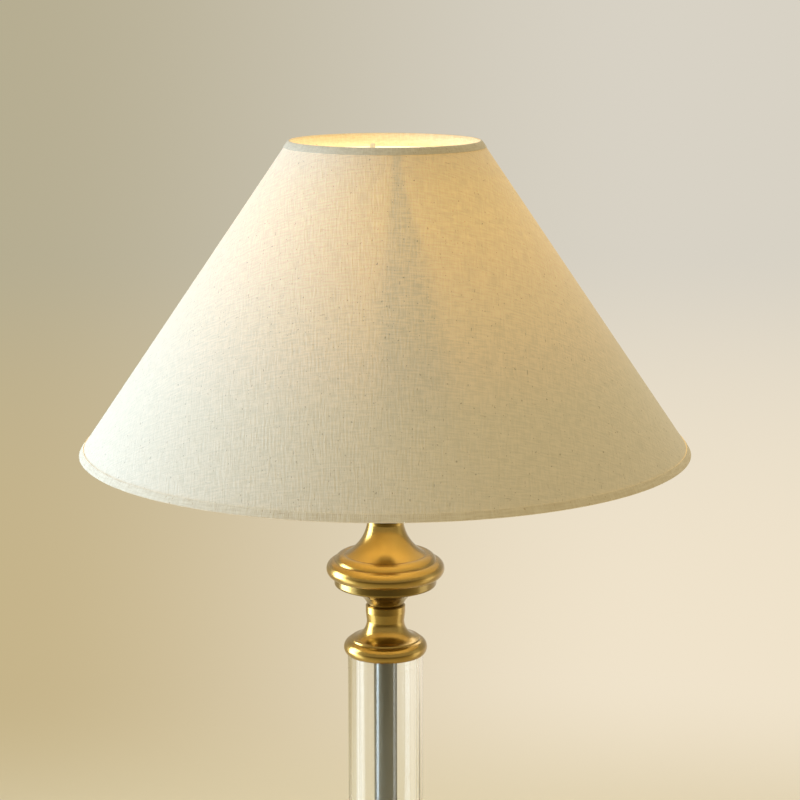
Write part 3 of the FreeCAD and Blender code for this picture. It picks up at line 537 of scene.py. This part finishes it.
# The linen cover. One sheet of coarse natural linen, cut flat as a sector with its grain upright
# at the front, rolled into the cone, and lapped and glued at the back.
shade_height = shade_high.z - shade_low.z
bottom_radius = shade_high.x
top_radius = max(v.co.x for v in nodes["shade_cover"].data.vertices if v.co.z > shade_high.z - 1e-5)
slant = math.hypot(shade_height, bottom_radius - top_radius)
sector_share = (bottom_radius - top_radius) / slant
cut_outer = bottom_radius / sector_share
cut_inner = top_radius / sector_share
cloth_thickness = 0.0008
lap = math.radians(4)
lap_rise = 3
bpy.ops.mesh.primitive_grid_add(x_subdivisions=270, y_subdivisions=40, size=1)
cover = bpy.context.object
cover.name = "linen_cover"
cut = cover.data.uv_layers.active.data
for corner in cover.data.loops:
    flat = cover.data.vertices[corner.vertex_index].co
    azimuth = (flat.x + 0.5) * (math.tau + lap) - math.pi
    reach = cut_outer + (cut_inner - cut_outer) * (flat.y + 0.5)
    flat_angle = azimuth * sector_share
    cut[corner.index].uv = (reach * math.sin(flat_angle), -reach * math.cos(flat_angle))
for vertex in cover.data.vertices:
    azimuth = (vertex.co.x + 0.5) * (math.tau + lap) - math.pi
    rise = vertex.co.y + 0.5
    lifted = min(1, max(0, (azimuth - math.pi) / lap * lap_rise + 1))
    radius = bottom_radius + (top_radius - bottom_radius) * rise + lifted * cloth_thickness
    level = shade_low.z + shade_height * rise
    vertex.co = (radius * math.sin(azimuth), -radius * math.cos(azimuth), level)
bpy.ops.object.modifier_add(type="SOLIDIFY")
cover.modifiers[0].thickness = cloth_thickness
cover.modifiers[0].offset = -1
bpy.ops.object.modifier_apply(modifier=cover.modifiers[0].name)
bpy.ops.object.shade_smooth_by_angle(angle=math.radians(30))

linen_pale = (0.75, 0.72, 0.63, 1)
linen_dark = (0.69, 0.66, 0.56, 1)
fleck_brown = (0.30, 0.21, 0.11, 1)
unlit_linen = (0.02, 0.012, 0.004, 1)
thread_width = 0.00082
weave_relief = 0.0003
arm_azimuth = math.radians(6.8)


def weave(paint, across, along):
    """The cloth's height, its uneven yarns and its brown flecks, from its flat coordinates."""
    wander = paint.noise(paint.join(across, along), 90.0)
    across = across + (wander - 0.5) * 0.0016
    along = along + (wander - 0.5) * 0.0012
    warp = (across * (math.pi / thread_width)).math("SINE")
    weft = (along * (math.pi / thread_width)).math("SINE")
    over = warp * weft * 0.5 + 0.5
    threads = warp.math("ABSOLUTE") * over + weft.math("ABSOLUTE") * (1 - over)
    ribs = paint.noise(paint.join(across * 900.0, along * 100.0), 1.0, 2.0)
    slubs = paint.noise(paint.join(across * 120.0, along * 850.0, 7.0), 1.0, 2.0)
    dots = paint.noise(paint.join(across * 620.0, along * 430.0, 3.0), 1.0, 1.0).between(0.70, 0.76)
    upright = paint.noise(paint.join(across * 1000.0, along * 150.0, 5.0), 1.0, 1.0).between(0.73, 0.79)
    level = paint.noise(paint.join(across * 90.0, along * 1100.0, 9.0), 1.0, 1.0).between(0.755, 0.815)
    flecks = dots.math("MAXIMUM", upright).math("MAXIMUM", level)
    return threads * 0.3 + ribs + slubs * 0.45, ribs * 0.42 + slubs * 0.58, flecks


def arm_shadow(paint, x, y, rise):
    """The soft shadows of the two arms, narrow at the top rim and wide halfway down."""
    radius = (x * x + y * y).math("SQRT")
    off = (x * math.cos(arm_azimuth) + y * math.sin(arm_azimuth)).math("ABSOLUTE") / radius
    width = 0.17 - rise.between(0.55, 1.0) * 0.125
    band = 1 - off.between(width * 0.4, width * 1.2)
    return band * rise.between(0.1, 0.42)


linen = Paint("linen", linen_pale, roughness=0.92, emission_strength=1.0, sheen_weight=0.15)
across, along, _ = linen.split(linen.node("TexCoord", output="UV"))
height, yarns, flecks = weave(linen, across, along)
x, y, z = linen.split(linen.place())
rise = (z - shade_low.z) / shade_height
pale_yarns = yarns.between(0.34, 0.66)
cloth = linen.mix(pale_yarns, linen_dark, linen_pale)
linen.set("Base Color", linen.mix(flecks * 0.5, cloth, fleck_brown))
# The glow is painted: an emission that stands in for the bulb's light through the cloth, set by height
# on the cone.
painted_glow_stops = [(0.0, (0.14, 0.072, 0.012, 1)), (0.145, (0.16, 0.086, 0.018, 1)),
        (0.254, (0.18, 0.098, 0.022, 1)), (0.39, (0.245, 0.123, 0.026, 1)),
        (0.527, (0.325, 0.162, 0.028, 1)), (0.664, (0.40, 0.192, 0.027, 1)),
        (0.787, (0.43, 0.208, 0.021, 1)), (0.883, (0.41, 0.193, 0.014, 1)),
        (1.0, (0.31, 0.135, 0.006, 1))]
painted_lamplight = linen.node("ValToRGB", {"stops": painted_glow_stops}, {0: rise})
# Less of the painted glow shows in the arms' painted shadows, at the flecks and in the denser yarns.
painted_shadow_and_dense_yarn = arm_shadow(linen, x, y, rise) * 0.28 + flecks * 0.5 + (1 - pale_yarns) * 0.36
linen.set("Emission Color", linen.mix(painted_shadow_and_dense_yarn, painted_lamplight, unlit_linen))
linen.bump(height, weave_relief)
cover.data.materials.append(linen.material)


# The hem tapes. Strips of the same linen, folded over the top and bottom edges round the wire
# rings and glued, so the cloth is double there and lets less light through. Their glow is painted,
# an emission that is dim outside and brighter on the inner side, which faces the bulb.
tape_height = 0.004
tape_thickness = 0.0005


def cone_radius(level):
    """The cover's outer radius at a height over its bottom edge."""
    return bottom_radius + (top_radius - bottom_radius) * level / shade_height


def ringed_skin(name, outline):
    """A skin round the lamp's axis: a circle extruded from each point of its outline to the next."""
    radius, level = outline[0]
    start = (0, 0, shade_low.z + level)
    bpy.ops.mesh.primitive_circle_add(vertices=256, radius=radius, location=start)
    skin = bpy.context.object
    skin.name = name
    bpy.ops.object.transform_apply()
    bpy.ops.object.mode_set(mode="EDIT")
    bpy.ops.mesh.select_all(action="SELECT")
    for next_radius, next_level in outline[1:]:
        climb = (0, 0, next_level - level)
        bpy.ops.mesh.extrude_edges_move(TRANSFORM_OT_translate={"value": climb})
        widen = next_radius / radius
        bpy.ops.transform.resize(value=(widen, widen, 1), center_override=(0, 0, 0))
        radius, level = next_radius, next_level
    bpy.ops.mesh.select_all(action="SELECT")
    bpy.ops.mesh.normals_make_consistent(inside=False)
    bpy.ops.object.mode_set(mode="OBJECT")
    bpy.ops.object.modifier_add(type="SOLIDIFY")
    skin.modifiers[0].thickness = tape_thickness
    skin.modifiers[0].offset = 0
    bpy.ops.object.modifier_apply(modifier=skin.modifiers[0].name)
    bpy.ops.object.shade_smooth_by_angle(angle=math.radians(50))
    return skin


# Each outline runs from the tape's outer edge round the wire ring to its inner edge, in radii and
# heights over the cover's bottom edge.
ring_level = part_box("bottom_ring")[0].z - shade_low.z
lower_outline = [
    (cone_radius(tape_height) + tape_thickness * 0.6, tape_height),
    (cone_radius(tape_height / 2) + tape_thickness * 0.7, tape_height / 2),
    (bottom_radius + tape_thickness * 0.5, 0.0),
    (bottom_radius - 0.0004, -tape_thickness * 0.7),
    (bottom_radius - 0.0016, -tape_thickness * 0.5),
    (bottom_radius - 0.0048, ring_level - 0.0008),
    (bottom_radius - 0.0068, ring_level - 0.0004),
    (bottom_radius - 0.0080, ring_level + 0.0009),
    (bottom_radius - 0.0080, ring_level + 0.0026),
    (bottom_radius - 0.0068, ring_level + 0.0044),
]
bottom_tape = ringed_skin("bottom_hem_tape", lower_outline)
top_ring_low, top_ring_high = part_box("top_ring")
wire_thickness = top_ring_high.z - top_ring_low.z
top_ring_bottom = top_ring_low.z - shade_low.z
edge_level = shade_height - tape_height
middle_level = shade_height - tape_height / 2
upper_outline = [
    (cone_radius(edge_level) + tape_thickness * 0.3, edge_level),
    (cone_radius(middle_level) + tape_thickness * 0.3, middle_level),
    (top_radius + tape_thickness * 0.2, shade_height - 0.0002),
    (top_radius - 0.0004, shade_height + tape_thickness * 0.2),
    (top_radius - 0.0014, shade_height - 0.0002),
    (top_radius - 0.0020, shade_height - 0.0016),
    (top_radius - 0.0024, top_ring_bottom + wire_thickness * 0.5),
    (top_radius - 0.0020, top_ring_bottom - 0.0004),
    (top_radius + 0.0002, top_ring_bottom - 0.0016),
    (cone_radius(top_ring_bottom - 0.003) - 0.0018, top_ring_bottom - 0.003),
]
top_tape = ringed_skin("top_hem_tape", upper_outline)

hem_pale = (0.72, 0.68, 0.57, 1)
hem_dark = (0.60, 0.56, 0.46, 1)
# The painted glow of the hems: dim outside, brighter on the inner side.
hem_painted_glow_stops = [(0.0, (0.12, 0.064, 0.012, 1)), (1.0, (0.088, 0.045, 0.007, 1))]
inner_painted_glow = (0.50, 0.28, 0.07, 1)
hem_linen = Paint("hem_linen", hem_dark, roughness=0.92, emission_strength=1.0)
x, y, z = hem_linen.split(hem_linen.place())
round_the_rim = y.math("ARCTAN2", x) * (bottom_radius * 0.7)
height, yarns, flecks = weave(hem_linen, round_the_rim, z)
cloth = hem_linen.mix(yarns.between(0.34, 0.66), hem_dark, hem_pale)
hem_linen.set("Base Color", hem_linen.mix(flecks * 0.5, cloth, fleck_brown))
radius = (x * x + y * y).math("SQRT")
normal_x, normal_y, _ = hem_linen.split(hem_linen.node("TexCoord", output="Normal"))
inward = (normal_x * x + normal_y * y) / radius * -1
rise = (z - shade_low.z) / shade_height
outer_painted_glow = hem_linen.node("ValToRGB", {"stops": hem_painted_glow_stops}, {0: rise})
hem_linen.set("Emission Color", hem_linen.mix(inward.between(-0.1, 0.4), outer_painted_glow, inner_painted_glow))
hem_linen.bump(height, weave_relief)
for tape in (bottom_tape, top_tape):
    tape.data.materials.append(hem_linen.material)
    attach(tape, "shade")
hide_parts("bottom_hem")
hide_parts("top_hem")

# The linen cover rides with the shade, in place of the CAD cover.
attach(cover, "shade")
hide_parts("shade_cover")
